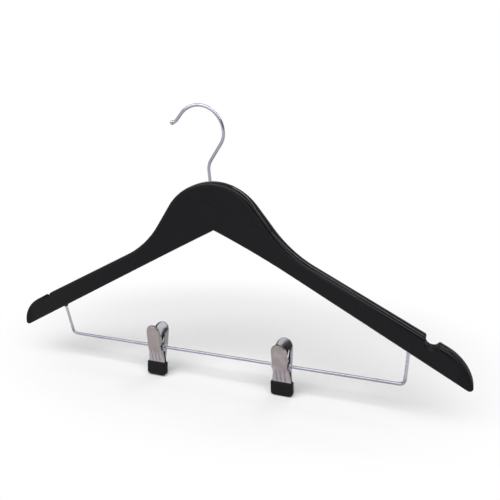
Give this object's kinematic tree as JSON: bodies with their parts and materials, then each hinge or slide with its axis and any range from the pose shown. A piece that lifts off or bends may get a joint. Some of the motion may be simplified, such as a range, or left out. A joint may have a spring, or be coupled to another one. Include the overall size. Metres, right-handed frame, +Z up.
{
  "type": "skirt hanger",
  "caption": "Contoured black wooden hanger with a swivelling wire hook, strap notches, a wire drop bar and sprung sliding clips with soft tips for skirts and trousers.",
  "frame": {"origin": "inside of the hook, above the shank, where the rail bears", "axes": "+X along the hanger to the right seen from the front, +Y to the back, +Z up"},
  "size_m": [0.4476, 0.0481, 0.2583],
  "materials": {
    "black_lacquer": "black lacquer over beech, satin gloss",
    "hook_chrome": "bright chrome on steel wire",
    "bar_chrome": "bright chrome on steel wire",
    "clip_nickel": "bright nickel on pressed steel",
    "plain_steel": "zinc plated steel",
    "dipped_tip": "soft black vinyl dip, matt",
    "bush_plastic": "black nylon"
  },
  "bodies": {
    "hook": {"hook": "hook_chrome"},
    "hanger": {"left_arm": "black_lacquer", "right_arm": "black_lacquer", "hook_washer": "plain_steel", "drop_bar": "bar_chrome", "left_bar_bush": "bush_plastic", "right_bar_bush": "bush_plastic"},
    "left_slider": {"left_clip_pivot_tube": "clip_nickel"},
    "left_clip_back": {"left_clip_back_lever": "clip_nickel", "left_clip_back_tip": "dipped_tip", "left_clip_spring": "plain_steel"},
    "left_clip_front": {"left_clip_front_lever": "clip_nickel", "left_clip_front_tip": "dipped_tip"},
    "right_slider": {"right_clip_pivot_tube": "clip_nickel"},
    "right_clip_back": {"right_clip_back_lever": "clip_nickel", "right_clip_back_tip": "dipped_tip", "right_clip_spring": "plain_steel"},
    "right_clip_front": {"right_clip_front_lever": "clip_nickel", "right_clip_front_tip": "dipped_tip"}
  },
  "joints": [
    {"name": "hook_swivel", "type": "hinge", "parent": "hook", "child": "hanger", "pos_m": [0, 0, -0.1017], "axis": [0, 0, 1], "continuous": true},
    {"name": "left_clip_slide", "type": "slide", "parent": "hanger", "child": "left_slider", "axis": [1, 0, 0], "range_m": [-0.092, 0.0549]},
    {"name": "left_clip_swing", "type": "hinge", "parent": "left_slider", "child": "left_clip_back", "pos_m": [-0.0659, -0.02699, -0.2262], "axis": [1, 0, 0], "continuous": true},
    {"name": "left_clip_open", "type": "hinge", "parent": "left_clip_back", "child": "left_clip_front", "pos_m": [-0.0659, -0.02699, -0.2262], "axis": [-1, 0, 0], "range_deg": [0, 35], "stiffness_Nm_per_rad": 0.3, "springref_deg": -22.92, "deforming": ["left_clip_spring"]},
    {"name": "right_clip_slide", "type": "slide", "parent": "hanger", "child": "right_slider", "axis": [1, 0, 0], "range_m": [-0.0553, 0.0917]},
    {"name": "right_clip_swing", "type": "hinge", "parent": "right_slider", "child": "right_clip_back", "pos_m": [0.0663, -0.02699, -0.2262], "axis": [1, 0, 0], "continuous": true},
    {"name": "right_clip_open", "type": "hinge", "parent": "right_clip_back", "child": "right_clip_front", "pos_m": [0.0663, -0.02699, -0.2262], "axis": [-1, 0, 0], "range_deg": [0, 35], "stiffness_Nm_per_rad": 0.3, "springref_deg": -22.92, "deforming": ["right_clip_spring"]}
  ]
}
